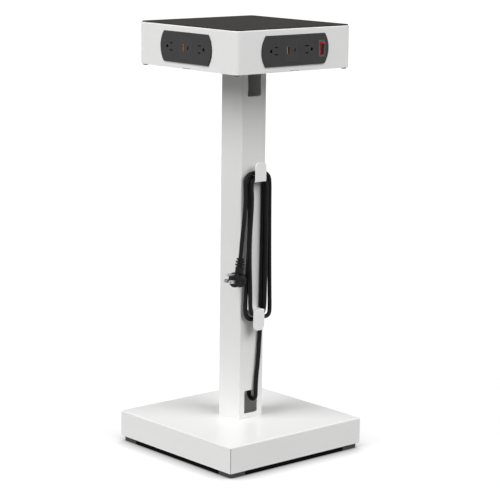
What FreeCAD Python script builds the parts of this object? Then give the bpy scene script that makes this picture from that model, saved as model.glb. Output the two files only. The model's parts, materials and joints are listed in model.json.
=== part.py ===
import FreeCAD, Part
import math
import os

# Free-standing charging tower: a square head with an outlet module in each side, on a square post
# with a weighted base. Millimetres, +Z up, origin on the floor under the centre of the base.
# The front (-Y) side has the switch, the cord hooks and the cable slots.

V = FreeCAD.Vector
X_AXIS = V(1, 0, 0)
Y_AXIS = V(0, 1, 0)
Z_AXIS = V(0, 0, 1)
ORIGIN = V(0, 0, 0)

# ---- base ----
FOOT_H = 10.0
FOOT_W = 36.0
FOOT_CORNER_R = 4.0
FOOT_EDGE = 0.8
FOOT_AT = 137.5
PLINTH_W = 311.0
PLINTH_CLEAR = 0.5
PLINTH_GAP = 0.2
BASE_W = 320.0
BASE_H = 48.4
BASE_SHEET = 2.0
BASE_BEND = 2.0
SEAM = 0.8
RELIEF_R = 1.1
BASE_PLATE_T = 2.5
BALLAST_W = 290.0
BALLAST_T = 16.0
FLANGE_W = 130.0
FLANGE_T = 6.0
FLANGE_BOLT_AT = 50.0

# ---- post ----
POST_W = 58.8
POST_WALL = 2.0
POST_R = 3.0
POST_RISE = 658.8
SLOT_W = 31.6
SLOT_H = 44.0
SLOT_R = 3.0
LOW_SLOT_RISE = 9.2
TOP_SLOT_RISE = 604.4

# ---- cord hooks ----
HOOK_SHEET = 2.0
HOOK_W = 25.5
HOOK_REACH = 21.1
HOOK_END_R = 9.0
UPPER_ARM_RISE = 449.3
UPPER_TAB_H = 36.0
LOWER_ARM_RISE = 209.9
LOWER_TAB_H = 38.5

# ---- head ----
HEAD_W = 273.0
HEAD_H = 78.0
HEAD_R = 9.0
HEAD_SHEET = 1.5
HEAD_BEND = 1.8
TOP_SHEET = 2.0
COVER_T = 1.5
COVER_RECESS = 0.4
TAB_W = 21.0
CORNER_SCREW_AT = 128.0
CORNER_HEAD_R = 4.8
CORNER_HEAD_T = 3.0
TOP_PLATE_W = 120.0
TOP_PLATE_T = 4.0
TOP_BOLT_AT = 45.0
GROMMET_HOLE_R = 15.0

# ---- outlet modules, as seen from outside: across is to the right, up from the head's lower edge ----
MODULE_UP = 38.0
FACE_HALF_H = 27.4
FACE_BULGE = 9.3
FACE_T = 3.0
FACE_EDGE = 0.9
STANDARD_HALF = 61.6
SWITCH_HALF = 70.0
CUTOUT_INSET = 2.2
CUTOUT_H = 46.0
HOUSING_GAP = 0.3
HOUSING_WALL = 2.0
HOUSING_DEPTH = 38.0
SLOT_PITCH = 12.7
GROUND_OUT = 11.85
SLOT_T = 1.9
HOT_W = 7.2
NEUTRAL_W = 9.0
GROUND_R = 2.8
BLOCK_IN = 11.0
BLOCK_OUT = 21.0
BLOCK_H = 40.0
BLOCK_DEPTH = 20.0
INSERT_GAP = 0.25
INSERT_H = 44.0
INSERT_BODY_H = 38.0
INSERT_BODY_DEPTH = 16.0

# Layout of a module: half length, slot centres and the way their ground holes lie, the USB insert's
# two edges, and the two USB ports.
STANDARD = {"half": STANDARD_HALF, "slots": [(-39.1, -1), (39.1, 1)], "insert": (-20.15, 20.15),
            "usb_a": -5.8, "usb_c": 7.1}
WITH_SWITCH = {"half": SWITCH_HALF, "slots": [(-47.3, -1), (26.05, 1)], "insert": (-28.3, 7.05),
               "usb_a": -18.7, "usb_c": -2.6}
MODULES = {"front": (0, WITH_SWITCH), "right": (90, STANDARD),
           "back": (180, STANDARD), "left": (270, STANDARD)}

# ---- USB ports ----
USB_A = (5.7, 13.1)
USB_C = (3.3, 9.0)
USB_WALL = 0.3
USB_A_DEPTH = 15.0
USB_C_DEPTH = 11.0
USB_FIT = 0.05

# ---- rocker switch ----
SWITCH_ACROSS = 61.6
BEZEL_W = 16.5
BEZEL_H = 30.5
BEZEL_R = 3.5
BEZEL_T = 1.2
BEZEL_NECK = (13.4, 28.4)
BEZEL_MOUTH = (8.0, 23.0)
CHEEK_W = 10.0
CHEEK_H = 26.0
SWITCH_FIT = 0.1
SWITCH_DEPTH = 22.0
PIVOT_IN = 2.9
PIVOT_R = 1.2
PIVOT_FIT = 0.05
ROCKER_W = 7.4
ROCKER_END_R = 11.3
ROCKER_PROUD = 2.2
ROCKER_BACK = 1.5
ROCKER_DISH = 0.6
WINDOW_RIM = 0.3
WINDOW_T = 0.8
ROCKER_TILT = 6.0

# ---- cord ----
CORD_D = 7.8
CLAMP_W = 18.0
CLAMP_DEPTH = 18.0
CLAMP_H = 12.0
CORD_CLEAR = 0.05
HANK_Y = (-48.3, -29.7)
HANK_HOLE_X = (-13.2, 15.8)

# The free cord leaves the clamp inside the post, turns up through the low slot and climbs to the hooks.
FEED_POINTS = [
    V(7.2, -15.5, 122.0), V(7.2, -15.5, 110.0), V(7.1, -16.2, 98.2), V(7.1, -21.6, 92.5),
    V(7.2, -29.2, 92.5), V(7.3, -34.9, 98.2), V(7.4, -34.7, 110.0), V(8.6, -34.1, 131.0),
    V(13.0, -34.2, 168.0), V(16.2, -33.9, 214.0), V(18.0, -34.0, 257.0),
]
# It leaves the wound hank at its upper left and hangs down to the plug.
TAIL_POINTS = [
    V(-26.9, -40.6, 500.0), V(-27.4, -40.5, 474.0), V(-30.3, -40.5, 440.0), V(-34.0, -40.5, 407.0),
    V(-37.71, -40.5, 378.1), V(-39.67, -40.5, 360.94),
]

# ---- plug: its own frame has the face at x = 0, the blades towards -X and the cord towards +Z ----
PLUG_AT = V(-55.2, -40.5, 330.6)
PLUG_TILT = 6.5
PLUG_STRETCH = 1.1
PLUG_CORD_X = 12.0
COLLAR_R = 7.7
COLLAR_Z = (12.0, 23.9)
RELIEF_TOP = 39.9
RELIEF_BORE = 8.0
RELIEF_CORE = (5.4, 4.7)
RIBS = [(27.7, 8.6), (33.1, 8.2), (38.4, 7.2)]
RIB_T = 2.6
BLADE_AT_Z = -2.7
BLADE_H = 6.3
BLADE_T = 1.5
BLADE_L = 16.0
BLADE_HELD = 8.0
BLADE_HOLE_AT = 12.0
BLADE_HOLE_R = 1.6
PIN_AT_Z = 9.2
PIN_R = 2.4
PIN_L = 19.0

# ---- levels and planes that follow from the sizes above ----
BASE_TOP = FOOT_H + BASE_H
BALLAST_Z = FOOT_H + BASE_PLATE_T
FLANGE_Z = BALLAST_Z + BALLAST_T
POST_Z = FLANGE_Z + FLANGE_T
HEAD_Z = BASE_TOP + POST_RISE
HEAD_TOP = HEAD_Z + HEAD_H
DECK_Z = HEAD_TOP - TOP_SHEET
COVER_Z = HEAD_Z + COVER_RECESS
TOP_PLATE_Z = COVER_Z + COVER_T
HEAD_HALF = HEAD_W / 2
HEAD_IN = HEAD_HALF - HEAD_SHEET
FACE_BACK = -HEAD_HALF
FACE_FRONT = FACE_BACK - FACE_T
MODULE_Z = HEAD_Z + MODULE_UP
POST_FACE = -POST_W / 2
POST_IN = POST_W / 2 - POST_WALL
UPPER_ARM_Z = BASE_TOP + UPPER_ARM_RISE
LOWER_ARM_Z = BASE_TOP + LOWER_ARM_RISE - HOOK_SHEET
CORD_R = CORD_D / 2
BOX_FLOOR_Z = TOP_PLATE_Z + TOP_PLATE_T + 4.4
BOX_W = 100.0
BOX_H = 38.0
BOX_WALL = 2.0
HARNESS_Z = HEAD_Z + 31.0
HARNESS_R = 3.5

made = {}


def save(name, shape):
    """Keep one node's shape, to be written as parts/NAME.step."""
    made[name] = shape


def block(x0, x1, y0, y1, z0, z1):
    return Part.makeBox(x1 - x0, y1 - y0, z1 - z0, V(x0, y0, z0))


def square(width, z0, z1):
    return block(-width / 2, width / 2, -width / 2, width / 2, z0, z1)


def rod(radius, start, end):
    return Part.makeCylinder(radius, (end - start).Length, start, end - start)


def upright(radius, x, y, z0, z1):
    return Part.makeCylinder(radius, z1 - z0, V(x, y, z0))


def rounded(shape, radius, direction):
    """Round the straight edges that run along one axis."""
    edges = []
    for edge in shape.Edges:
        run = edge.lastVertex().Point - edge.firstVertex().Point
        if run.Length > 0 and abs(run.normalize().dot(direction)) > 0.999:
            edges.append(edge)
    return shape.makeFillet(radius, edges)


def rounded_square(width, radius, z0, z1):
    return rounded(square(width, z0, z1), radius, Z_AXIS)


def edges_at(shape, axis, level):
    """Edges that lie wholly in the plane where one coordinate has the given value."""
    found = []
    for edge in shape.Edges:
        box = edge.BoundBox
        low = (box.XMin, box.YMin, box.ZMin)[axis]
        high = (box.XMax, box.YMax, box.ZMax)[axis]
        if abs(low - level) < 1e-4 and abs(high - level) < 1e-4:
            found.append(edge)
    return found


def fused(shapes):
    return shapes[0].multiFuse(shapes[1:]).removeSplitter()


def cut(shape, tools):
    return shape.cut(Part.makeCompound(tools)) if tools else shape


def four_corners(distance):
    return [(sx * distance, sy * distance) for sx in (-1, 1) for sy in (-1, 1)]


def turned(shape, degrees):
    copy = shape.copy()
    copy.rotate(ORIGIN, Z_AXIS, degrees)
    return copy


def hexagon(across_flats, x, y, z0, z1):
    corner = across_flats / math.sqrt(3)
    points = []
    for i in range(7):
        angle = math.radians(60 * i)
        points.append(V(x + corner * math.cos(angle), y + corner * math.sin(angle), z0))
    return Part.Face(Part.makePolygon(points)).extrude(V(0, 0, z1 - z0))


# ---------------------------------------------------------------- base

def make_base_cover():
    outer = square(BASE_W, FOOT_H, BASE_TOP)
    outer = outer.makeFillet(BASE_BEND, edges_at(outer, 2, BASE_TOP))
    tools = [
        square(BASE_W - 2 * BASE_SHEET, FOOT_H, BASE_TOP - BASE_SHEET),
        square(POST_W + 0.4, FOOT_H, BASE_TOP),
    ]
    corner = BASE_W / 2
    seam_top = BASE_TOP - BASE_SHEET - RELIEF_R
    for i in range(4):
        seam = block(-4, 4, -SEAM / 2, SEAM / 2, FOOT_H, seam_top)
        seam.rotate(ORIGIN, Z_AXIS, 45)
        seam.translate(V(corner - BASE_SHEET, corner - BASE_SHEET, 0))
        relief = Part.makeCylinder(RELIEF_R, 8, V(corner, corner, seam_top), V(-1, -1, 0))
        tools.append(turned(fused([seam, relief]), 90 * i))
    save("base_cover", cut(outer, tools))


def make_base_plates():
    plate = square(BASE_W - 2 * BASE_SHEET - 0.2, FOOT_H, BALLAST_Z)
    ballast = square(BALLAST_W, BALLAST_Z, FLANGE_Z)
    flange = rounded_square(FLANGE_W, 8, FLANGE_Z, POST_Z)
    screw_holes = [upright(3.2, x, y, FOOT_H, BALLAST_Z) for x, y in four_corners(FOOT_AT)]
    tapped = [upright(3.05, x, y, BALLAST_Z, FLANGE_Z) for x, y in four_corners(FOOT_AT)]
    tapped += [upright(4.05, x, y, BALLAST_Z, FLANGE_Z) for x, y in four_corners(FLANGE_BOLT_AT)]
    bolt_holes = [upright(4.3, x, y, FLANGE_Z, POST_Z) for x, y in four_corners(FLANGE_BOLT_AT)]
    save("base_plate", cut(plate, screw_holes))
    save("ballast_plate", cut(ballast, tapped))
    save("post_foot_plate", cut(flange, bolt_holes))
    bolts = []
    for x, y in four_corners(FLANGE_BOLT_AT):
        head = hexagon(13, x, y, POST_Z, POST_Z + 5.3)
        bolts.append(fused([head, upright(4.0, x, y, FLANGE_Z - 14, POST_Z)]))
    save("foot_plate_bolts", Part.makeCompound(bolts))


def make_plinth():
    """The dark tray between the feet, which stays a little above the floor."""
    plate = square(PLINTH_W, PLINTH_CLEAR, FOOT_H)
    corner = PLINTH_W / 2
    inner = FOOT_AT - FOOT_W / 2 - PLINTH_GAP
    notches = []
    for i in range(4):
        notches.append(turned(block(inner, corner, inner, corner, PLINTH_CLEAR, FOOT_H), 90 * i))
    save("base_plinth", cut(plate, notches))


def make_feet():
    screws = []
    for number, (x, y) in enumerate(four_corners(FOOT_AT), 1):
        pad = rounded_square(FOOT_W, FOOT_CORNER_R, 0, FOOT_H)
        pad = pad.makeChamfer(FOOT_EDGE, edges_at(pad, 2, 0))
        pad.translate(V(x, y, 0))
        hollow = [upright(6.2, x, y, 0, 5.0), upright(3.2, x, y, 5.0, FOOT_H)]
        save(f"foot_{number}", cut(pad, hollow))
        head = upright(5.6, x, y, 1.4, 5.0)
        recess = block(x - 3.5, x + 3.5, y - 0.6, y + 0.6, 1.4, 2.8)
        screws.append(fused([head, upright(3.0, x, y, 5.0, FLANGE_Z - 2)]).cut(recess))
    save("foot_screws", Part.makeCompound(screws))


# ---------------------------------------------------------------- post and hooks

def wall_slot(z0):
    hole = block(-SLOT_W / 2, SLOT_W / 2, POST_FACE - 2, POST_FACE + 4, z0, z0 + SLOT_H)
    return rounded(hole, SLOT_R, Y_AXIS)


def make_post():
    tube = rounded_square(POST_W, POST_R, POST_Z, TOP_PLATE_Z)
    bore = rounded_square(POST_W - 2 * POST_WALL, POST_R - POST_WALL, POST_Z, TOP_PLATE_Z)
    slots = [wall_slot(BASE_TOP + LOW_SLOT_RISE), wall_slot(BASE_TOP + TOP_SLOT_RISE)]
    half = HOOK_W / 2 + 0.1
    for z in (UPPER_ARM_Z, LOWER_ARM_Z):
        slots.append(block(-half, half, POST_FACE - 1, POST_FACE + 3, z - 0.05, z + HOOK_SHEET + 0.05))
    save("post_tube", cut(tube, [bore] + slots))


def hook(arm_z, tab_h, upward):
    """An arm through the post's wall, bent into a tab with a round end."""
    out = POST_FACE - HOOK_REACH
    half = HOOK_W / 2
    arm = block(-half, half, out, POST_FACE + POST_WALL + 0.6, arm_z, arm_z + HOOK_SHEET)
    if upward:
        z0, z1, end = arm_z, arm_z + tab_h, arm_z + tab_h
    else:
        z0, z1, end = arm_z + HOOK_SHEET - tab_h, arm_z + HOOK_SHEET, arm_z + HOOK_SHEET - tab_h
    tab = block(-half, half, out, out + HOOK_SHEET, z0, z1)
    ends = [edge for edge in tab.Edges
            if abs(edge.CenterOfMass.z - end) < 1e-4 and abs(abs(edge.CenterOfMass.x) - half) < 1e-4]
    tab = tab.makeFillet(HOOK_END_R, ends)
    shape = fused([arm, tab])
    bend_z = arm_z if upward else arm_z + HOOK_SHEET
    bend = [edge for edge in shape.Edges
            if abs(edge.CenterOfMass.z - bend_z) < 1e-4 and abs(edge.CenterOfMass.y - out) < 1e-4]
    return shape.makeFillet(1.6, bend)


def make_hooks():
    save("upper_hook", hook(UPPER_ARM_Z, UPPER_TAB_H, True))
    save("lower_hook", hook(LOWER_ARM_Z, LOWER_TAB_H, False))


# ---------------------------------------------------------------- head

def cutout_half(layout):
    return layout["half"] + CUTOUT_INSET


def make_head_shell():
    outer = rounded_square(HEAD_W, HEAD_R, HEAD_Z, DECK_Z)
    outer = outer.makeFillet(HEAD_BEND, edges_at(outer, 2, DECK_Z))
    tools = [rounded_square(2 * HEAD_IN, HEAD_R - HEAD_SHEET, HEAD_Z, DECK_Z - HEAD_SHEET)]
    outside, inside = -HEAD_HALF - 1, -HEAD_IN + 1
    notch_half = TAB_W / 2 + 0.2
    for angle, layout in MODULES.values():
        half = cutout_half(layout)
        opening = block(-half, half, outside, inside, MODULE_Z - CUTOUT_H / 2, MODULE_Z + CUTOUT_H / 2)
        notch = block(-notch_half, notch_half, outside, inside, HEAD_Z - 1, TOP_PLATE_Z + 0.1)
        tools += [turned(opening, angle), turned(notch, angle)]
    save("head_shell", cut(outer, tools))


def make_top_panel():
    panel = rounded_square(HEAD_W - 2 * HEAD_BEND, HEAD_R - HEAD_BEND, DECK_Z, HEAD_TOP)
    save("top_panel", panel.makeChamfer(0.4, edges_at(panel, 2, HEAD_TOP)))


def make_bottom_cover():
    plate = rounded_square(2 * HEAD_IN - 0.2, HEAD_R - HEAD_SHEET - 0.1, COVER_Z, TOP_PLATE_Z)
    tabs = []
    for i in range(4):
        tab = block(-TAB_W / 2, TAB_W / 2, -HEAD_HALF, -HEAD_IN + 2, COVER_Z, TOP_PLATE_Z)
        tabs.append(turned(tab, 90 * i))
    holes = [square(POST_W + 0.4, COVER_Z - 1, TOP_PLATE_Z + 1)]
    holes += [upright(2.7, x, y, COVER_Z - 1, TOP_PLATE_Z + 1) for x, y in four_corners(CORNER_SCREW_AT)]
    holes += [upright(3.05, x, y, COVER_Z - 1, TOP_PLATE_Z + 1) for x, y in four_corners(TOP_BOLT_AT)]
    save("head_bottom_cover", cut(fused([plate] + tabs), holes))


def make_corner_brackets():
    inner = HEAD_IN - 0.1
    brackets = []
    screws = []
    for i in range(4):
        body = block(110, inner, 110, inner, TOP_PLATE_Z, TOP_PLATE_Z + 22)
        corner = [edge for edge in body.Edges
                  if abs(edge.CenterOfMass.x - inner) < 1e-4 and abs(edge.CenterOfMass.y - inner) < 1e-4]
        body = body.makeFillet(HEAD_R - HEAD_SHEET - 0.1, corner)
        hole = upright(2.5, CORNER_SCREW_AT, CORNER_SCREW_AT, TOP_PLATE_Z, TOP_PLATE_Z + 22)
        brackets.append(turned(body.cut(hole), 90 * i))
        head = upright(CORNER_HEAD_R, CORNER_SCREW_AT, CORNER_SCREW_AT, COVER_Z - CORNER_HEAD_T, COVER_Z)
        head = head.makeFillet(1.2, edges_at(head, 2, COVER_Z - CORNER_HEAD_T))
        shank = upright(2.45, CORNER_SCREW_AT, CORNER_SCREW_AT, COVER_Z, TOP_PLATE_Z + 16)
        screws.append(turned(fused([head, shank]), 90 * i))
    save("corner_brackets", Part.makeCompound(brackets))
    save("head_screws", Part.makeCompound(screws))


def make_top_plate():
    top = TOP_PLATE_Z + TOP_PLATE_T
    plate = rounded_square(TOP_PLATE_W, 8, TOP_PLATE_Z, top)
    holes = [upright(GROMMET_HOLE_R, 0, 0, TOP_PLATE_Z, top)]
    holes += [upright(3.2, x, y, TOP_PLATE_Z, top) for x, y in four_corners(TOP_BOLT_AT)]
    save("post_top_plate", cut(plate, holes))
    bolts = []
    for x, y in four_corners(TOP_BOLT_AT):
        bolts.append(fused([hexagon(10, x, y, top, top + 4), upright(3.0, x, y, COVER_Z, top)]))
    save("top_plate_bolts", Part.makeCompound(bolts))
    ring = fused([
        upright(GROMMET_HOLE_R - 0.1, 0, 0, TOP_PLATE_Z - 2, top + 2),
        upright(GROMMET_HOLE_R + 2, 0, 0, TOP_PLATE_Z - 2, TOP_PLATE_Z),
        upright(GROMMET_HOLE_R + 2, 0, 0, top, top + 2),
    ])
    save("grommet", ring.cut(upright(CORD_R + CORD_CLEAR, 0, 0, TOP_PLATE_Z - 3, top + 3)))


def make_junction_box():
    z0 = BOX_FLOOR_Z
    z1 = z0 + BOX_H
    inner = BOX_W - 2 * BOX_WALL
    shell = rounded_square(BOX_W, 4, z0, z1).cut(square(inner, z0 + BOX_WALL, z1))
    bosses = []
    for i in range(4):
        bosses.append(turned(upright(4, 36, 0, TOP_PLATE_Z + TOP_PLATE_T, z0), 90 * i))
    shell = fused([shell] + bosses)
    holes = [upright(CORD_R + 0.2, 0, 0, z0 - 1, z0 + BOX_WALL + 1)]
    for i in range(4):
        entry = rod(HARNESS_R + 0.05, V(0, -inner / 2 + 2, HARNESS_Z), V(0, -BOX_W / 2 - 1, HARNESS_Z))
        holes.append(turned(entry, 90 * i))
    save("junction_box", cut(shell, holes))
    lid = rounded_square(BOX_W, 4, z1, z1 + BOX_WALL)
    save("junction_lid", fused([lid, square(inner - 0.4, z1 - 1.5, z1)]))


def make_control_board():
    z = BOX_FLOOR_Z + BOX_WALL
    board_z = z + 9
    pieces = [block(-42, 42, -42, 42, board_z, board_z + 1.6)]
    pieces += [upright(3, x, y, z, board_z) for x, y in four_corners(37)]
    pieces.append(block(-36, -8, 8, 34, board_z + 1.6, board_z + 19.6))
    pieces.append(block(8, 38, -36, -24, board_z + 1.6, board_z + 12))
    for i in range(3):
        pieces.append(upright(5, -30 + 14 * i, -20, board_z + 1.6, board_z + 17))
    for i in range(2):
        pieces.append(block(10 + 14 * i, 18 + 14 * i, 8, 30, board_z + 1.6, board_z + 14))
    save("control_board", fused(pieces))


def make_harness():
    leads = []
    start = V(0, -BOX_W / 2 + 5, HARNESS_Z)
    end = V(0, -HEAD_HALF + HOUSING_DEPTH - 5, HARNESS_Z)
    for i in range(4):
        lead = rod(HARNESS_R, start, end)
        leads.append(turned(lead, 90 * i))
    save("wiring_harness", Part.makeCompound(leads))


# ---------------------------------------------------------------- outlet modules, built facing -Y

def face_block(across0, across1, up0, up1, y0, y1):
    """A block placed on the front module, up from its centre line."""
    return block(across0, across1, y0, y1, MODULE_Z + up0, MODULE_Z + up1)


def stadium(centre, width, height, y0, y1):
    """An upright slot with half-round ends."""
    shape = face_block(centre - width / 2, centre + width / 2, -height / 2, height / 2, y0, y1)
    return rounded(shape, width / 2 - 0.01, Y_AXIS)


def usb_a_slot(centre, width, height, y0, y1):
    """A USB-A port's hole: upright, with small corner radii."""
    shape = face_block(centre - width / 2, centre + width / 2, -height / 2, height / 2, y0, y1)
    return rounded(shape, 0.6, Y_AXIS)


def socket_holes(at, side, y0, y1):
    """Two blade slots above each other, and a ground hole to their outer side."""
    narrow = face_block(at - HOT_W / 2, at + HOT_W / 2, -SLOT_T / 2, SLOT_T / 2, y0, y1)
    wide = face_block(at - NEUTRAL_W / 2, at + NEUTRAL_W / 2, -SLOT_T / 2, SLOT_T / 2, y0, y1)
    narrow.translate(V(0, 0, -side * SLOT_PITCH / 2))
    wide.translate(V(0, 0, side * SLOT_PITCH / 2))
    x = at + side * GROUND_OUT
    ground = rod(GROUND_R, V(x, y0, MODULE_Z), V(x, y1, MODULE_Z))
    flat = face_block(x - side * GROUND_R, x, -GROUND_R, GROUND_R, y0, y1) if side > 0 else \
        face_block(x, x + GROUND_R, -GROUND_R, GROUND_R, y0, y1)
    return [narrow, wide, fused([ground, flat])]


def faceplate(layout, with_switch):
    half = layout["half"]
    corners = [(-half, -FACE_HALF_H), (half, -FACE_HALF_H), (half, FACE_HALF_H), (-half, FACE_HALF_H)]
    low_left, low_right, top_right, top_left = [V(x, FACE_FRONT, MODULE_Z + z) for x, z in corners]
    bulge = half + FACE_BULGE
    outline = Part.Wire([
        Part.makeLine(low_left, low_right),
        Part.Arc(low_right, V(bulge, FACE_FRONT, MODULE_Z), top_right).toShape(),
        Part.makeLine(top_right, top_left),
        Part.Arc(top_left, V(-bulge, FACE_FRONT, MODULE_Z), low_left).toShape(),
    ])
    plate = Part.Face(outline).extrude(V(0, FACE_T, 0))
    plate = plate.makeFillet(FACE_EDGE, edges_at(plate, 1, FACE_FRONT))
    y0, y1 = FACE_FRONT - 1, FACE_BACK + 1
    holes = []
    for at, side in layout["slots"]:
        holes += socket_holes(at, side, y0, y1)
    left, right = layout["insert"]
    holes.append(face_block(left, right, -INSERT_H / 2 - INSERT_GAP, INSERT_H / 2 + INSERT_GAP, y0, y1))
    if with_switch:
        width, height = BEZEL_NECK
        holes.append(switch_block(width + 2 * SWITCH_FIT, height + 2 * SWITCH_FIT, y0, y1))
    return cut(plate, holes)


def usb_insert(layout):
    left, right = layout["insert"]
    left += INSERT_GAP
    right -= INSERT_GAP
    back = FACE_BACK + INSERT_BODY_DEPTH
    body = fused([
        face_block(left, right, -INSERT_H / 2, INSERT_H / 2, FACE_FRONT, FACE_BACK),
        face_block(left + 2, right - 2, -INSERT_BODY_H / 2, INSERT_BODY_H / 2, FACE_BACK, back),
    ])
    fit = 2 * USB_FIT
    outside = FACE_FRONT - 1
    holes = [
        usb_a_slot(layout["usb_a"], USB_A[0] + fit, USB_A[1] + fit, outside, FACE_FRONT + USB_A_DEPTH + 1),
        stadium(layout["usb_c"], USB_C[0] + fit, USB_C[1] + fit, outside, FACE_FRONT + USB_C_DEPTH + 1),
    ]
    body = cut(body, holes)
    tongue = face_block(layout["usb_c"] - 0.35, layout["usb_c"] + 0.35, -3.2, 3.2,
                        FACE_FRONT + 1.6, FACE_FRONT + USB_C_DEPTH + 1)
    return fused([body, tongue])


def usb_shells(layout):
    front = FACE_FRONT + 0.3
    a_back = FACE_FRONT + USB_A_DEPTH
    c_back = FACE_FRONT + USB_C_DEPTH
    wall = 2 * USB_WALL
    a_shell = usb_a_slot(layout["usb_a"], USB_A[0], USB_A[1], front, a_back)
    a_bore = face_block(layout["usb_a"] - USB_A[0] / 2 + USB_WALL, layout["usb_a"] + USB_A[0] / 2 - USB_WALL,
                        -USB_A[1] / 2 + USB_WALL, USB_A[1] / 2 - USB_WALL, front - 1, a_back + 1)
    c_shell = stadium(layout["usb_c"], USB_C[0], USB_C[1], front, c_back)
    c_bore = stadium(layout["usb_c"], USB_C[0] - wall, USB_C[1] - wall, front - 1, c_back + 1)
    return [a_shell.cut(a_bore), c_shell.cut(c_bore)]


def usb_tongue(layout):
    """The coloured tongue stands to one side of the USB-A port, on a base at its back."""
    at = layout["usb_a"]
    base_half = USB_A[0] / 2 - USB_WALL - USB_FIT
    base_half_h = USB_A[1] / 2 - USB_WALL - USB_FIT
    back = FACE_FRONT + USB_A_DEPTH
    base = face_block(at - base_half, at + base_half, -base_half_h, base_half_h, back - 4, back)
    tongue = face_block(at - base_half + 0.35, at - base_half + 2.35, -5.6, 5.6, FACE_FRONT + 1.0, back - 4)
    return fused([base, tongue])


def receptacles(layout):
    blocks = []
    for at, side in layout["slots"]:
        across = sorted((at - side * BLOCK_IN, at + side * BLOCK_OUT))
        body = face_block(across[0], across[1], -BLOCK_H / 2, BLOCK_H / 2, FACE_BACK, FACE_BACK + BLOCK_DEPTH)
        holes = socket_holes(at, side, FACE_BACK - 1, FACE_BACK + 3)
        for up in (-SLOT_PITCH / 2, SLOT_PITCH / 2):
            holes.append(face_block(at - 5.5, at + 5.5, up - 2.6, up + 2.6, FACE_BACK + 2, FACE_BACK + 17))
        x = at + side * GROUND_OUT
        holes.append(rod(4.2, V(x, FACE_BACK + 2, MODULE_Z), V(x, FACE_BACK + 17, MODULE_Z)))
        blocks.append(cut(body, holes))
    return Part.makeCompound(blocks)


def contacts(layout):
    """Brass clips: a folded pair of leaves behind each slot and a tube behind each ground hole."""
    clips = []
    y0, y1 = FACE_BACK + 2.5, FACE_BACK + 16.9
    for at, side in layout["slots"]:
        for up in (-SLOT_PITCH / 2, SLOT_PITCH / 2):
            outer = face_block(at - 4.5, at + 4.5, up - 1.9, up + 1.9, y0, y1)
            gap = face_block(at - 5, at + 5, up - 1.1, up + 1.1, y0 - 1, y1 - 1)
            clips.append(outer.cut(gap))
        x = at + side * GROUND_OUT
        tube = rod(4.0, V(x, y0, MODULE_Z), V(x, y1, MODULE_Z))
        clips.append(tube.cut(rod(3.0, V(x, y0 - 1, MODULE_Z), V(x, y1 - 1, MODULE_Z))))
    return clips


def housing(layout):
    half = cutout_half(layout) - HOUSING_GAP
    half_h = CUTOUT_H / 2 - HOUSING_GAP
    back = FACE_BACK + HOUSING_DEPTH
    wall = HOUSING_WALL
    outer = face_block(-half, half, -half_h, half_h, FACE_BACK, back)
    hollow = face_block(-half + wall, half - wall, -half_h + wall, half_h - wall, FACE_BACK, back - wall)
    entry = rod(HARNESS_R + 0.05, V(0, back - 5, HARNESS_Z), V(0, back + 1, HARNESS_Z))
    return outer.cut(hollow).cut(entry)


def make_modules():
    clips = []
    tongues = []
    shells = []
    for side, (angle, layout) in MODULES.items():
        with_switch = layout is WITH_SWITCH
        save(f"faceplate_{side}", turned(faceplate(layout, with_switch), angle))
        save(f"usb_insert_{side}", turned(usb_insert(layout), angle))
        shells += [turned(shell, angle) for shell in usb_shells(layout)]
        tongues.append(turned(usb_tongue(layout), angle))
        save(f"receptacles_{side}", turned(receptacles(layout), angle))
        save(f"module_housing_{side}", turned(housing(layout), angle))
        clips += [turned(clip, angle) for clip in contacts(layout)]
    save("usb_shells", Part.makeCompound(shells))
    save("usb_a_tongues", Part.makeCompound(tongues))
    save("contacts", Part.makeCompound(clips))


# ---------------------------------------------------------------- rocker switch

def switch_block(width, height, y0, y1):
    return face_block(SWITCH_ACROSS - width / 2, SWITCH_ACROSS + width / 2, -height / 2, height / 2, y0, y1)


def rocker_end(y):
    """How far the rocker reaches above its pivot, y in front of or behind it: its ends are round."""
    return math.sqrt(ROCKER_END_R ** 2 - y ** 2)


def rocker_shapes():
    """The rocker about its pivot, upright, and the smoked window let into its front."""
    front = -(PIVOT_IN + ROCKER_PROUD)
    face, back = rocker_end(front), rocker_end(ROCKER_BACK)
    mid = front / 2
    front_top, back_top = V(0, front, face), V(0, ROCKER_BACK, back)
    front_low, back_low = V(0, front, -face), V(0, ROCKER_BACK, -back)
    profile = Part.Wire([
        Part.Arc(front_low, V(0, front + ROCKER_DISH, 0), front_top).toShape(),
        Part.Arc(front_top, V(0, mid, rocker_end(mid)), back_top).toShape(),
        Part.Arc(back_top, V(0, 3 * ROCKER_BACK, 0), back_low).toShape(),
        Part.Arc(back_low, V(0, mid, -rocker_end(mid)), front_low).toShape(),
    ])
    rocker = Part.Face(profile).extrude(V(ROCKER_W, 0, 0))
    rocker.translate(V(-ROCKER_W / 2, 0, 0))
    rim = [edge for edge in rocker.Edges if edge.CenterOfMass.y < front + ROCKER_DISH]
    rocker = rocker.makeFillet(0.4, rim)
    half = ROCKER_W / 2 - WINDOW_RIM
    up = face - WINDOW_RIM
    inlay = block(-half, half, front - 1, front + ROCKER_DISH + WINDOW_T, -up, up)
    return rocker.cut(inlay), rocker.common(inlay)


def place_rocker(shape, pivot_y):
    copy = shape.copy()
    copy.rotate(ORIGIN, X_AXIS, ROCKER_TILT)
    copy.translate(V(SWITCH_ACROSS, pivot_y, MODULE_Z))
    return copy


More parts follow.
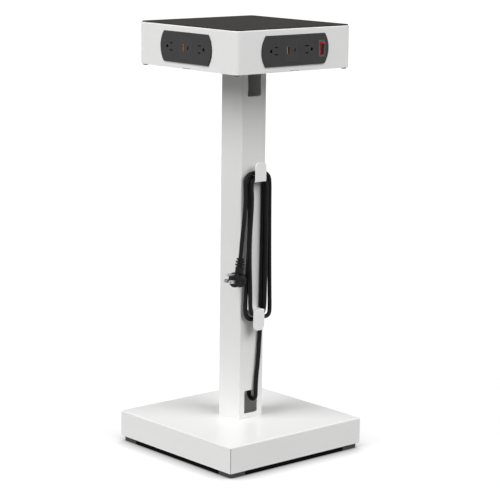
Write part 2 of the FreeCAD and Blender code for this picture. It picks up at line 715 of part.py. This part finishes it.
def make_switch():
    bezel_front = FACE_FRONT - BEZEL_T
    pivot_y = bezel_front + PIVOT_IN
    flange = rounded(switch_block(BEZEL_W, BEZEL_H, bezel_front, FACE_FRONT), BEZEL_R, Y_AXIS)
    flange = flange.makeFillet(0.7, edges_at(flange, 1, bezel_front))
    neck = rounded(switch_block(BEZEL_NECK[0], BEZEL_NECK[1], FACE_FRONT, FACE_BACK), 1.5, Y_AXIS)
    mouth = switch_block(BEZEL_MOUTH[0], BEZEL_MOUTH[1], bezel_front - 1, FACE_FRONT + 1)
    seat = switch_block(CHEEK_W + 2 * SWITCH_FIT, CHEEK_H + 2 * SWITCH_FIT, FACE_FRONT, FACE_BACK + 1)
    save("switch_bezel", cut(fused([flange, neck]), [mouth, seat]))

    back = FACE_BACK + SWITCH_DEPTH
    body = switch_block(CHEEK_W, CHEEK_H, FACE_FRONT + 0.2, back)
    well = switch_block(BEZEL_MOUTH[0], BEZEL_MOUTH[1] - 0.2, FACE_FRONT - 1, FACE_BACK + 9)
    stubs = []
    for side in (-1, 1):
        wall_x = SWITCH_ACROSS + side * (BEZEL_MOUTH[0] / 2 + 0.2)
        tip_x = SWITCH_ACROSS + side * (ROCKER_W / 2 - 0.9)
        stubs.append(rod(PIVOT_R, V(wall_x, pivot_y, MODULE_Z), V(tip_x, pivot_y, MODULE_Z)))
    terminals = [switch_block(4.8, 0.8, back, back + 8) for _ in range(3)]
    for i, terminal in enumerate(terminals):
        terminal.translate(V(0, 0, 8 * (i - 1)))
    save("switch_body", fused([body.cut(well)] + stubs + terminals))

    rocker, window = [place_rocker(shape, pivot_y) for shape in rocker_shapes()]
    sockets = []
    for side in (-1, 1):
        outer = V(SWITCH_ACROSS + side * (ROCKER_W / 2 + 1), pivot_y, MODULE_Z)
        inner = V(SWITCH_ACROSS + side * (ROCKER_W / 2 - 1.1), pivot_y, MODULE_Z)
        sockets.append(rod(PIVOT_R + PIVOT_FIT, outer, inner))
    save("switch_rocker", cut(rocker, sockets))
    save("rocker_window", window)


# ---------------------------------------------------------------- cord

def route_wire(points):
    """Straight runs joined by tangent arcs, each arc as large as its two runs allow."""
    edges = []
    radii = []
    start = points[0]
    for before, corner, after in zip(points, points[1:], points[2:]):
        into = corner - before
        out = after - corner
        half_turn = into.getAngle(out) / 2
        reach = 0.45 * min(into.Length, out.Length)
        radii.append(reach / math.tan(half_turn))
        into.normalize()
        out.normalize()
        tangent_in = corner - into * reach
        tangent_out = corner + out * reach
        towards = (out - into).normalize()
        edges.append(Part.LineSegment(start, tangent_in).toShape())
        middle = arc_middle(corner, towards, reach, half_turn)
        edges.append(Part.Arc(tangent_in, middle, tangent_out).toShape())
        start = tangent_out
    edges.append(Part.LineSegment(start, points[-1]).toShape())
    return Part.Wire(edges), radii


def arc_middle(corner, towards, reach, half_turn):
    """The point half way along the arc that rounds a corner."""
    radius = reach / math.tan(half_turn)
    return corner + towards * (radius / math.cos(half_turn) - radius)


def tube(name, points, radius):
    wire, radii = route_wire(points)
    section = Part.Wire(Part.makeCircle(radius, points[0], points[1] - points[0]))
    solid = Part.Solid(wire.makePipeShell([section], True, False))
    expected = math.pi * radius ** 2 * wire.Length
    print(f"{name}: length {wire.Length:.0f} mm, volume ratio {abs(solid.Volume) / expected:.4f},",
          "arc radii", [round(r, 1) for r in radii])
    if solid.Volume < 0:
        solid.reverse()
    return solid


def make_riser():
    foot = FEED_POINTS[0]
    route = [foot, V(foot.x, foot.y, 615), V(0, 0, 690), V(0, 0, BOX_FLOOR_Z + 7)]
    save("cord_riser", tube("cord_riser", route, CORD_R))
    x0 = foot.x - CLAMP_W / 2
    clamp = block(x0, x0 + CLAMP_W, -POST_IN, -POST_IN + CLAMP_DEPTH, foot.z, foot.z + CLAMP_H)
    bore = upright(CORD_R + CORD_CLEAR, foot.x, foot.y, foot.z - 1, foot.z + CLAMP_H + 1)
    save("cord_clamp", clamp.cut(bore))


def make_hank():
    """The outer shape of the turns wound round both hooks: a ring open around the hook arms."""
    left_top = V(-34.0, 0, 495)
    right_top = V(36.2, 0, 495)
    right_low = V(39.2, 0, 278)
    left_low = V(-27.0, 0, 278)
    waist_low = V(-25.5, 0, 320)
    waist_top = V(-25.5, 0, 442)
    shoulder = V(-34.0, 0, 480)
    outline = Part.Wire([
        Part.Arc(left_top, V(1.0, 0, 528.1), right_top).toShape(),
        Part.makeLine(right_top, right_low),
        Part.Arc(right_low, V(4, 0, 245.0), left_low).toShape(),
        Part.makeLine(left_low, waist_low),
        Part.makeLine(waist_low, waist_top),
        Part.makeLine(waist_top, shoulder),
        Part.makeLine(shoulder, left_top),
    ])
    ring = Part.Face(outline).extrude(V(0, HANK_Y[1] - HANK_Y[0], 0))
    ring.translate(V(0, HANK_Y[0], 0))
    hole = block(HANK_HOLE_X[0], HANK_HOLE_X[1], HANK_Y[0] - 1, HANK_Y[1] + 1,
                 LOWER_ARM_Z - 0.2, UPPER_ARM_Z + HOOK_SHEET + 0.2)
    save("cord_hank", ring.cut(hole))


def make_cord():
    save("cord_feed", tube("cord_feed", FEED_POINTS, CORD_R))
    make_hank()
    save("cord_tail", tube("cord_tail", TAIL_POINTS, CORD_R))


# ---------------------------------------------------------------- plug

def place_plug(shape):
    copy = shape.copy()
    copy.rotate(ORIGIN, Y_AXIS, PLUG_TILT)
    copy.translate(PLUG_AT)
    return copy


def plug_profile():
    """Half outline of the body: flange, finger waist, bulge and domed back."""
    rim, waist, bulge = V(4.6, 0, 13.8), V(8.4, 0, 11.6), V(12.6, 0, 13.4)
    shoulder, back = V(19.2, 0, 12.4), V(23.2, 0, 6.0)
    return Part.Wire([
        Part.makeLine(V(0, 0, 0), V(0, 0, 12.8)),
        Part.makeLine(V(0, 0, 12.8), V(1.0, 0, 13.8)),
        Part.makeLine(V(1.0, 0, 13.8), rim),
        Part.Arc(rim, waist, bulge).toShape(),
        Part.Arc(bulge, V(16.2, 0, 13.9), shoulder).toShape(),
        Part.Arc(shoulder, V(21.9, 0, 9.8), back).toShape(),
        Part.makeLine(back, V(23.2, 0, 0)),
        Part.makeLine(V(23.2, 0, 0), V(0, 0, 0)),
    ])


def make_plug():
    body = Part.Face(plug_profile()).revolve(ORIGIN, X_AXIS, 360)
    stretch = FreeCAD.Matrix()
    stretch.scale(V(1, PLUG_STRETCH, 1))
    body = body.transformGeometry(stretch)

    collar = upright(COLLAR_R, PLUG_CORD_X, 0, COLLAR_Z[0], COLLAR_Z[1])
    collar_top = V(PLUG_CORD_X, 0, COLLAR_Z[1])
    core = Part.makeCone(RELIEF_CORE[0], RELIEF_CORE[1], RELIEF_TOP - COLLAR_Z[1], collar_top)
    ribs = []
    for z, radius in RIBS:
        ribs.append(upright(radius, PLUG_CORD_X, 0, z - RIB_T / 2, z + RIB_T / 2))
    bore = upright(CORD_R + CORD_CLEAR, PLUG_CORD_X, 0, RELIEF_TOP - RELIEF_BORE, RELIEF_TOP + 1)
    relief = fused([collar, core] + ribs).cut(bore)

    blades = []
    for side in (-1, 1):
        y = side * SLOT_PITCH / 2
        blade = block(-BLADE_L, BLADE_HELD, y - BLADE_T / 2, y + BLADE_T / 2,
                      BLADE_AT_Z - BLADE_H / 2, BLADE_AT_Z + BLADE_H / 2)
        tip = [edge for edge in blade.Edges
               if abs(edge.CenterOfMass.x + BLADE_L) < 1e-4 and abs(edge.CenterOfMass.y - y) < 1e-4]
        blade = blade.makeChamfer(1.2, tip)
        hole = rod(BLADE_HOLE_R, V(-BLADE_HOLE_AT, y - 2, BLADE_AT_Z), V(-BLADE_HOLE_AT, y + 2, BLADE_AT_Z))
        blades.append(blade.cut(hole))
    pin = rod(PIN_R, V(BLADE_HELD, 0, PIN_AT_Z), V(-PIN_L, 0, PIN_AT_Z))
    pin = pin.makeFillet(PIN_R * 0.8, edges_at(pin, 0, -PIN_L))

    save("plug_body", place_plug(cut(body, [collar, pin] + blades)))
    save("plug_strain_relief", place_plug(relief))
    save("plug_blades", place_plug(Part.makeCompound(blades)))
    save("plug_ground_pin", place_plug(pin))


def main():
    make_base_cover()
    make_base_plates()
    make_plinth()
    make_feet()
    make_post()
    make_hooks()
    make_head_shell()
    make_top_panel()
    make_bottom_cover()
    make_corner_brackets()
    make_top_plate()
    make_junction_box()
    make_control_board()
    make_harness()
    make_modules()
    make_switch()
    make_riser()
    make_cord()
    make_plug()
    os.makedirs("parts", exist_ok=True)
    for name, shape in made.items():
        shape.exportStep(f"parts/{name}.step")
    print(len(made), "nodes")


main()
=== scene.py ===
import json
import math

import bpy
from mathutils import Matrix, Vector


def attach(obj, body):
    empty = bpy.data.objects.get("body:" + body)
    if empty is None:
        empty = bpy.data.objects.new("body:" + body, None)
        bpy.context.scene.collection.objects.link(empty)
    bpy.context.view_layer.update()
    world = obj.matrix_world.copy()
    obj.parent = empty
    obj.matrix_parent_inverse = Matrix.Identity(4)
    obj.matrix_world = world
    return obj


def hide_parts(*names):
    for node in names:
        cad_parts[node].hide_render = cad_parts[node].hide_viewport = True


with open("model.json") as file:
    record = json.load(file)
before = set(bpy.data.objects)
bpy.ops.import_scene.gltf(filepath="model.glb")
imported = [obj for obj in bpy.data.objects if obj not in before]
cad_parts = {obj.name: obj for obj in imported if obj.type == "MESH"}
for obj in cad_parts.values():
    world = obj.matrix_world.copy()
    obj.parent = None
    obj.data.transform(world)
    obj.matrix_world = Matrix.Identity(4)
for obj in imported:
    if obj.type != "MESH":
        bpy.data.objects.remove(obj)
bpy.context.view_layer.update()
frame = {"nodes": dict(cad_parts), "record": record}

MM = 0.001
nodes = frame["nodes"]
SIDES = ("front", "right", "back", "left")

# ---------------------------------------------------------------- camera

CAMERA_AT = Vector((-2.31916, -2.67452, 1.05264))
CAMERA_YAW = math.radians(48.836)
CAMERA_PITCH = math.radians(-10.678)
CAMERA_ROLL = math.radians(0.7178)
CAMERA_LENS = 139.66
SENSOR_WIDTH = 36.0
CLIP_NEAR = 0.05
CLIP_FAR = 60.0


def make_camera():
    """Yaw is from +X towards +Y, and pitch is above the horizon."""
    ahead = Vector((math.cos(CAMERA_PITCH) * math.cos(CAMERA_YAW),
                    math.cos(CAMERA_PITCH) * math.sin(CAMERA_YAW), math.sin(CAMERA_PITCH)))
    level_right = Vector((math.sin(CAMERA_YAW), -math.cos(CAMERA_YAW), 0))
    level_up = level_right.cross(ahead)
    right = level_right * math.cos(CAMERA_ROLL) + level_up * math.sin(CAMERA_ROLL)
    up = level_up * math.cos(CAMERA_ROLL) - level_right * math.sin(CAMERA_ROLL)
    data = bpy.data.cameras.new("camera")
    data.lens = CAMERA_LENS
    data.sensor_width = SENSOR_WIDTH
    data.clip_start = CLIP_NEAR
    data.clip_end = CLIP_FAR
    camera = bpy.data.objects.new("camera", data)
    turned = Matrix((right, up, -ahead)).transposed().to_4x4()
    camera.matrix_world = Matrix.Translation(CAMERA_AT) @ turned
    bpy.context.scene.collection.objects.link(camera)
    bpy.context.scene.camera = camera


# ---------------------------------------------------------------- cord

CORD_D = 7.8
STEPS_ALONG = 8
STEPS_ROUND = 6

# From the clamp inside the post, out through the low slot and up to the hooks.
CORD_FEED = [
    (7.2, -15.5, 122.0), (7.2, -15.5, 110.0), (7.1, -16.2, 98.2), (7.1, -21.6, 92.5),
    (7.2, -29.2, 92.5), (7.3, -34.9, 98.2), (7.4, -34.7, 110.0), (8.6, -34.1, 131.0),
    (13.0, -34.2, 168.0), (16.2, -33.9, 214.0), (18.2, -34.0, 252.0),
]
# From the wound turns down to the plug.
CORD_TAIL = [
    (-27.6, -40.6, 474.0), (-31.0, -40.5, 440.0), (-35.0, -40.5, 407.0), (-37.9, -40.5, 379.0),
    (-39.67, -40.5, 360.94),
]

# Each strand beside the hooks: x at the low, middle and high levels, and its y.
STRAND_Z = (300.0, 392.0, 470.0)
RIGHT_STRANDS = [
    ((19.7, 20.5, 20.8), -33.4),
    ((21.0, 22.0, 21.4), -41.6),
    ((35.0, 32.9, 31.8), -38.6),
]
LEFT_STRANDS = [((-21.2, -14.5, -14.6), -36.4), ((-17.4, -21.3, -15.2), -44.4)]
# Each pass over the upper arm or under the lower one: centre x, half width, level of the
# strands' ends, height of the pass, tilt, and y half way.
OVER = [
    (1.2, 20.2, 494, 20.6, 0.0, -34.2),
    (1.8, 19.8, 494, 20.8, 0.0, -42.6),
    (1.0, 31.2, 496, 28.2, 0.0, -38.6),
]
UNDER = [(-1.0, 22.5, 281, 32.5, 0.0, -37.6), (9.0, 26.6, 280, 26.5, -5.0, -44.2)]
ARC_ANGLES = (14, 40, 66, 90, 114, 140, 166)
SQUARENESS = 0.64


def arc_points(shape, from_right, upward, y_start, y_end):
    """A squared half oval between two strands, as the cord takes round the flat arm of a hook."""
    centre, half, level, height, tilt, y_mid = shape
    points = []
    for angle in ARC_ANGLES:
        turn = math.radians(angle if from_right else 180 - angle)
        across = math.copysign(abs(math.cos(turn)) ** SQUARENESS, math.cos(turn))
        rise = math.sin(turn) ** SQUARENESS
        share = angle / 180
        if share < 0.5:
            y = y_start + (y_mid - y_start) * math.sin(math.pi * share)
        else:
            y = y_end + (y_mid - y_end) * math.sin(math.pi * share)
        z = level + (height * rise if upward else -height * rise) + tilt * across
        points.append((centre + half * across, y, z))
    return points


def hank_points():
    """The turns round both hooks: up at the right, over, down at the left and under."""
    points = []
    for turn, (right_x, right_y) in enumerate(RIGHT_STRANDS):
        points += [(x, right_y, z) for x, z in zip(right_x, STRAND_Z)]
        last = turn == len(LEFT_STRANDS)
        left_x, left_y = ((), CORD_TAIL[0][1]) if last else LEFT_STRANDS[turn]
        points += arc_points(OVER[turn], True, True, right_y, left_y)
        if last:
            break
        points += [(x, left_y, z) for x, z in zip(reversed(left_x), reversed(STRAND_Z))]
        points += arc_points(UNDER[turn], False, False, left_y, RIGHT_STRANDS[turn + 1][1])
    return points


def make_cord():
    route = CORD_FEED + hank_points() + CORD_TAIL
    curve = bpy.data.curves.new("power_cord", "CURVE")
    curve.dimensions = "3D"
    spline = curve.splines.new("NURBS")
    spline.points.add(len(route) - 1)
    for point, place in zip(spline.points, route):
        point.co = (*(Vector(place) * MM), 1)
    spline.order_u = 3
    spline.use_endpoint_u = True
    spline.resolution_u = STEPS_ALONG
    curve.bevel_depth = CORD_D / 2 * MM
    curve.bevel_resolution = STEPS_ROUND
    curve.use_fill_caps = True
    cord = bpy.data.objects.new("power_cord", curve)
    bpy.context.scene.collection.objects.link(cord)
    return cord


# ---------------------------------------------------------------- materials

WHITE_HEAD = 0.83
# Painted shade: the post's copy of the white coat is darker than the head's, standing in for the
# shade under the head.
SHADED_WHITE_POST = 0.73
WHITE_BASE = 0.79
# Painted light: the lighter colour inside the post tube.
PAINTED_LIGHT_INSIDE = (0.93, 0.93, 0.92)
# Where the painted light starts inside the post tube: between its inner and outer faces, from its
# axis in metres.
TUBE_MID_WALL = 0.0283


def remap(tree, value, low, high, low_at, high_at):
    """A value that goes from low to high as the input goes from low_at to high_at."""
    made = tree.nodes.new("ShaderNodeMapRange")
    made.inputs["From Min"].default_value = low_at
    made.inputs["From Max"].default_value = high_at
    made.inputs["To Min"].default_value = low
    made.inputs["To Max"].default_value = high
    tree.links.new(value, made.inputs["Value"])
    return made.outputs["Result"]


def combine(tree, operation, first, second):
    made = tree.nodes.new("ShaderNodeMath")
    made.operation = operation
    tree.links.new(first, made.inputs[0])
    tree.links.new(second, made.inputs[1])
    return made.outputs["Value"]


class Look:
    """A node material built up from small steps. Its textures use the object's own metres."""

    def __init__(self, name, color, roughness, metallic=0.0):
        self.material = bpy.data.materials.new(name)
        self.material.use_nodes = True
        self.tree = self.material.node_tree
        self.shader = self.tree.nodes["Principled BSDF"]
        self.place = self.tree.nodes.new("ShaderNodeTexCoord").outputs["Object"]
        self.color = color
        self.roughness = roughness
        self.shader.inputs["Base Color"].default_value = (*color, 1)
        self.shader.inputs["Roughness"].default_value = roughness
        self.shader.inputs["Metallic"].default_value = metallic
        self.normal = None

    def set(self, **values):
        for name, value in values.items():
            self.shader.inputs[name.replace("_", " ")].default_value = value
        return self

    def node(self, kind, **values):
        made = self.tree.nodes.new(kind)
        for name, value in values.items():
            setattr(made, name, value)
        return made

    def link(self, start, end):
        self.tree.links.new(start, end)

    def noise(self, size, detail=3.0, stretch=(1, 1, 1)):
        """Noise whose features are about size metres across."""
        mapping = self.node("ShaderNodeMapping")
        mapping.inputs["Scale"].default_value = stretch
        self.link(self.place, mapping.inputs["Vector"])
        noise = self.node("ShaderNodeTexNoise")
        noise.inputs["Scale"].default_value = 1 / size
        noise.inputs["Detail"].default_value = detail
        self.link(mapping.outputs["Vector"], noise.inputs["Vector"])
        return noise.outputs["Fac"]

    def ramp(self, value, low, high, low_at=0.3, high_at=0.7):
        return remap(self.tree, value, low, high, low_at, high_at)

    def vary_color(self, size, amount, detail=3.0, stretch=(1, 1, 1)):
        """Lighter and darker patches of the base colour."""
        mix = self.node("ShaderNodeMix", data_type="RGBA")
        mix.inputs["A"].default_value = (*[c * (1 - amount) for c in self.color], 1)
        mix.inputs["B"].default_value = (*[min(1, c * (1 + amount)) for c in self.color], 1)
        self.link(self.ramp(self.noise(size, detail, stretch), 0, 1), mix.inputs["Factor"])
        self.link(mix.outputs["Result"], self.shader.inputs["Base Color"])
        return self

    def vary_roughness(self, size, amount, stretch=(1, 1, 1)):
        noise = self.noise(size, 4.0, stretch)
        value = self.ramp(noise, self.roughness - amount, self.roughness + amount)
        self.link(value, self.shader.inputs["Roughness"])
        return self

    def paint_light_inside(self, half, color):
        """Another colour inside an upright tube, closer than half to its axis: painted light on the
        tube's shaded inside.
        """
        places = self.node("ShaderNodeVectorMath", operation="ABSOLUTE")
        self.link(self.place, places.inputs[0])
        split = self.node("ShaderNodeSeparateXYZ")
        self.link(places.outputs["Vector"], split.inputs["Vector"])
        away = combine(self.tree, "MAXIMUM", split.outputs["X"], split.outputs["Y"])
        within = self.node("ShaderNodeMath", operation="LESS_THAN")
        self.link(away, within.inputs[0])
        within.inputs[1].default_value = half
        mix = self.node("ShaderNodeMix", data_type="RGBA")
        self.link(self.shader.inputs["Base Color"].links[0].from_socket, mix.inputs["A"])
        mix.inputs["B"].default_value = (*color, 1)
        self.link(within.outputs["Value"], mix.inputs["Factor"])
        self.link(mix.outputs["Result"], self.shader.inputs["Base Color"])
        return self

    def bump(self, size, depth, detail=2.0, stretch=(1, 1, 1)):
        """Relief depth metres deep. Each call adds to the ones before it."""
        made = self.node("ShaderNodeBump")
        made.inputs["Strength"].default_value = 1.0
        made.inputs["Distance"].default_value = depth
        self.link(self.noise(size, detail, stretch), made.inputs["Height"])
        if self.normal is not None:
            self.link(self.normal, made.inputs["Normal"])
        self.normal = made.outputs["Normal"]
        self.link(self.normal, self.shader.inputs["Normal"])
        return self


def white_powder(name, white, roughness, specular, coat):
    """White powder coat: a slight orange peel, and a few duller patches."""
    look = Look(name, (white, white, white - 0.005), roughness).vary_color(0.16, 0.012)
    look.vary_roughness(0.05, 0.04).bump(0.0022, 0.000012).bump(0.0006, 0.000004)
    return look.set(Specular_IOR_Level=specular, Coat_Weight=coat, Coat_Roughness=0.2)


def dark_laminate():
    look = Look("dark_laminate", (0.036, 0.034, 0.031), 0.62).vary_color(0.004, 0.22, 6.0)
    look.vary_roughness(0.03, 0.05).bump(0.0011, 0.00003, 4.0)
    return look.set(Specular_IOR_Level=0.1).material


def moulded(name, color, roughness, grain=0.00002, specular=0.35):
    """Moulded plastic with a fine spark-eroded grain."""
    look = Look(name, color, roughness).vary_color(0.03, 0.06).vary_roughness(0.012, 0.05)
    return look.bump(0.0007, grain, 3.0).set(Specular_IOR_Level=specular).material


def plated(name, color, roughness, metallic=1.0):
    look = Look(name, color, roughness, metallic).vary_color(0.01, 0.1).vary_roughness(0.006, 0.09)
    return look.bump(0.0009, 0.00001, 2.0).material


def cord_jacket():
    """Extruded vinyl: faint ripples along the cord and scuffed patches."""
    look = Look("cord_jacket", (0.006, 0.006, 0.0062), 0.5).vary_color(0.02, 0.2)
    look.vary_roughness(0.014, 0.07).bump(0.004, 0.00004).bump(0.0006, 0.000012)
    return look.set(Specular_IOR_Level=0.15).material


def rubber():
    look = Look("rubber", (0.038, 0.038, 0.037), 0.72).vary_color(0.01, 0.25)
    return look.bump(0.001, 0.00004, 4.0).material


def red_lens():
    """Translucent red moulding with a faint glow from the lamp inside it."""
    look = Look("red_lens", (0.52, 0.004, 0.004), 0.3)
    look.vary_color(0.006, 0.12).bump(0.0012, 0.00001)
    look.set(Emission_Color=(0.9, 0.005, 0.002, 1), Emission_Strength=0.12)
    return look.set(Specular_IOR_Level=0.12).material


def smoked_lens():
    look = Look("smoked_lens", (0.024, 0.006, 0.006), 0.22).vary_color(0.004, 0.2)
    look.vary_roughness(0.003, 0.05).bump(0.0014, 0.00001)
    return look.set(Specular_IOR_Level=0.1).material


def circuit_board():
    look = Look("board", (0.02, 0.12, 0.04), 0.4).vary_color(0.003, 0.3, 5.0)
    return look.bump(0.002, 0.0001).material


def cast_iron():
    look = Look("cast_ballast", (0.07, 0.07, 0.07), 0.6, 0.6).vary_color(0.01, 0.25)
    return look.bump(0.003, 0.0002, 5.0).material


def orange_plastic():
    look = Look("orange_plastic", (0.54, 0.16, 0.035), 0.4).vary_color(0.003, 0.12)
    return look.bump(0.0008, 0.00001).material


def make_materials():
    """One material for each slot of the record, and a few variants for single nodes."""
    # Painted shade: the post's white is a darker copy of the head's coat.
    post = white_powder("white_post", SHADED_WHITE_POST, 0.42, 0.15, 0.0)
    # Painted light: the inside of the post tube gets a lighter colour than its coat, to brighten
    # its shaded inside.
    post.paint_light_inside(TUBE_MID_WALL, PAINTED_LIGHT_INSIDE)
    return {
        "white_steel": white_powder("white_steel", WHITE_HEAD, 0.42, 0.15, 0.0).material,
        "white_post": post.material,
        "white_base": white_powder("white_base", WHITE_BASE, 0.34, 0.3, 0.12).material,
        "dark_laminate": dark_laminate(),
        "zinc_steel": plated("zinc_steel", (0.62, 0.62, 0.60), 0.42),
        "dull_zinc": plated("dull_zinc", (0.42, 0.42, 0.41), 0.6),
        "screw_steel": plated("screw_steel", (0.035, 0.035, 0.035), 0.6, 0.3),
        "cast_ballast": cast_iron(),
        "black_plastic": moulded("black_plastic", (0.024, 0.024, 0.025), 0.46),
        "housing_plastic": moulded("housing_plastic", (0.03, 0.03, 0.03), 0.5),
        "socket_plastic": moulded("socket_plastic", (0.006, 0.006, 0.006), 0.6),
        # Painted shade: the plinth is near black with almost no sheen, so that the gap under the
        # base cover reads as shade.
        "plinth_painted_shade": moulded("plinth_painted_shade", (0.003, 0.003, 0.003), 0.85, 0.00004, 0.05),
        "insert_plastic": moulded("insert_plastic", (0.026, 0.026, 0.027), 0.42, 0.000012),
        "port_steel": plated("port_steel", (0.24, 0.24, 0.24), 0.42),
        "orange_plastic": orange_plastic(),
        "contact_brass": plated("contact_brass", (0.72, 0.52, 0.24), 0.35),
        "blade_brass": plated("blade_brass", (0.52, 0.52, 0.51), 0.34),
        "grey_plastic": moulded("grey_plastic", (0.075, 0.08, 0.078), 0.22, 0.000006),
        "red_lens": red_lens(),
        "smoked_lens": smoked_lens(),
        "board": circuit_board(),
        "cord_jacket": cord_jacket(),
        "rubber": rubber(),
        "plug_vinyl": moulded("plug_vinyl", (0.004, 0.004, 0.0042), 0.5, 0.00003, 0.2),
    }


NODE_LOOKS = {"base_cover": "white_base", "post_tube": "white_post",
              "base_plinth": "plinth_painted_shade", "head_bottom_cover": "dull_zinc"}
NODE_LOOKS.update({f"receptacles_{side}": "socket_plastic" for side in SIDES})
NODE_LOOKS.update({f"usb_insert_{side}": "insert_plastic" for side in SIDES})


def finish_cad_nodes(materials):
    slots = {part["node"]: part["material_slot"] for part in frame["record"]["subparts"]}
    for name, node in nodes.items():
        node.data.materials.clear()
        node.data.materials.append(materials[NODE_LOOKS.get(name, slots[name])])


# ---------------------------------------------------------------- surroundings


FLOOR_HALF = 30.0
FLOOR_GLOW = 0.76
FLOOR_SHADE_REACH = 0.06
# How open a place on the floor is where the glow starts, and where it is full.
GLOW_FROM = 0.22
GLOW_FULL = 0.85


def make_floor():
    """A white floor that glows evenly, and less where the object is close to it."""
    mesh = bpy.data.meshes.new("floor")
    corners = [(x * FLOOR_HALF, y * FLOOR_HALF, 0) for x, y in ((-1, -1), (1, -1), (1, 1), (-1, 1))]
    mesh.from_pydata(corners, [], [(0, 1, 2, 3)])
    floor = bpy.data.objects.new("floor", mesh)
    bpy.context.scene.collection.objects.link(floor)
    look = Look("floor", (0.25, 0.25, 0.25), 0.6).vary_color(0.8, 0.01).bump(0.01, 0.00002)
    look.set(Specular_IOR_Level=0.05, Emission_Color=(1, 1, 1, 1))
    shade = look.node("ShaderNodeAmbientOcclusion")
    shade.inputs["Distance"].default_value = FLOOR_SHADE_REACH
    glow = look.ramp(shade.outputs["AO"], 0.0, FLOOR_GLOW, GLOW_FROM, GLOW_FULL)
    look.link(glow, look.shader.inputs["Emission Strength"])
    mesh.materials.append(look.material)
    floor.visible_diffuse = False
    floor.visible_shadow = False


# The dome's strength at the horizon, overhead and below, and how softly it changes at the horizon.
SKY_LOW = 0.38
SKY_HIGH = 0.12
GROUND_GLOW = 0.13
HORIZON_BLUR = 0.01
# Each lamp's azimuth from +X, its height and its strength. They light the two near sides.
SUNS = {"left_sun": (172, 39, 2.79), "front_sun": (284, 39, 2.23)}
SUN_SPREAD = math.radians(45)


def make_lights():
    """A soft white dome over the glow of the ground, and two wide soft lamps."""
    world = bpy.data.worlds.new("studio")
    world.use_nodes = True
    tree = world.node_tree
    background = tree.nodes["Background"]
    split = tree.nodes.new("ShaderNodeSeparateXYZ")
    direction = tree.nodes.new("ShaderNodeTexCoord").outputs["Generated"]
    tree.links.new(direction, split.inputs["Vector"])
    rise = split.outputs["Z"]
    sky = remap(tree, rise, SKY_LOW, SKY_HIGH, 0, 1)
    above = remap(tree, rise, 0, 1, -HORIZON_BLUR, HORIZON_BLUR)
    below = remap(tree, rise, GROUND_GLOW, 0, -HORIZON_BLUR, HORIZON_BLUR)
    strength = combine(tree, "ADD", combine(tree, "MULTIPLY", sky, above), below)
    tree.links.new(strength, background.inputs["Strength"])
    background.inputs["Color"].default_value = (1, 1, 1, 1)
    bpy.context.scene.world = world

    for name, (azimuth, height, energy) in SUNS.items():
        data = bpy.data.lights.new(name, "SUN")
        data.energy = energy
        data.angle = SUN_SPREAD
        turn, lift = math.radians(azimuth), math.radians(height)
        level = math.cos(lift)
        source = Vector((level * math.cos(turn), level * math.sin(turn), math.sin(lift)))
        sun = bpy.data.objects.new(name, data)
        sun.rotation_euler = source.to_track_quat("Z", "Y").to_euler()
        bpy.context.scene.collection.objects.link(sun)
    bpy.context.scene.view_settings.view_transform = "Standard"


# ---------------------------------------------------------------- build

make_camera()
cord = make_cord()
materials = make_materials()
finish_cad_nodes(materials)
cord.data.materials.append(materials["cord_jacket"])
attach(cord, "tower")
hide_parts("cord_feed", "cord_hank", "cord_tail")
make_floor()
make_lights()
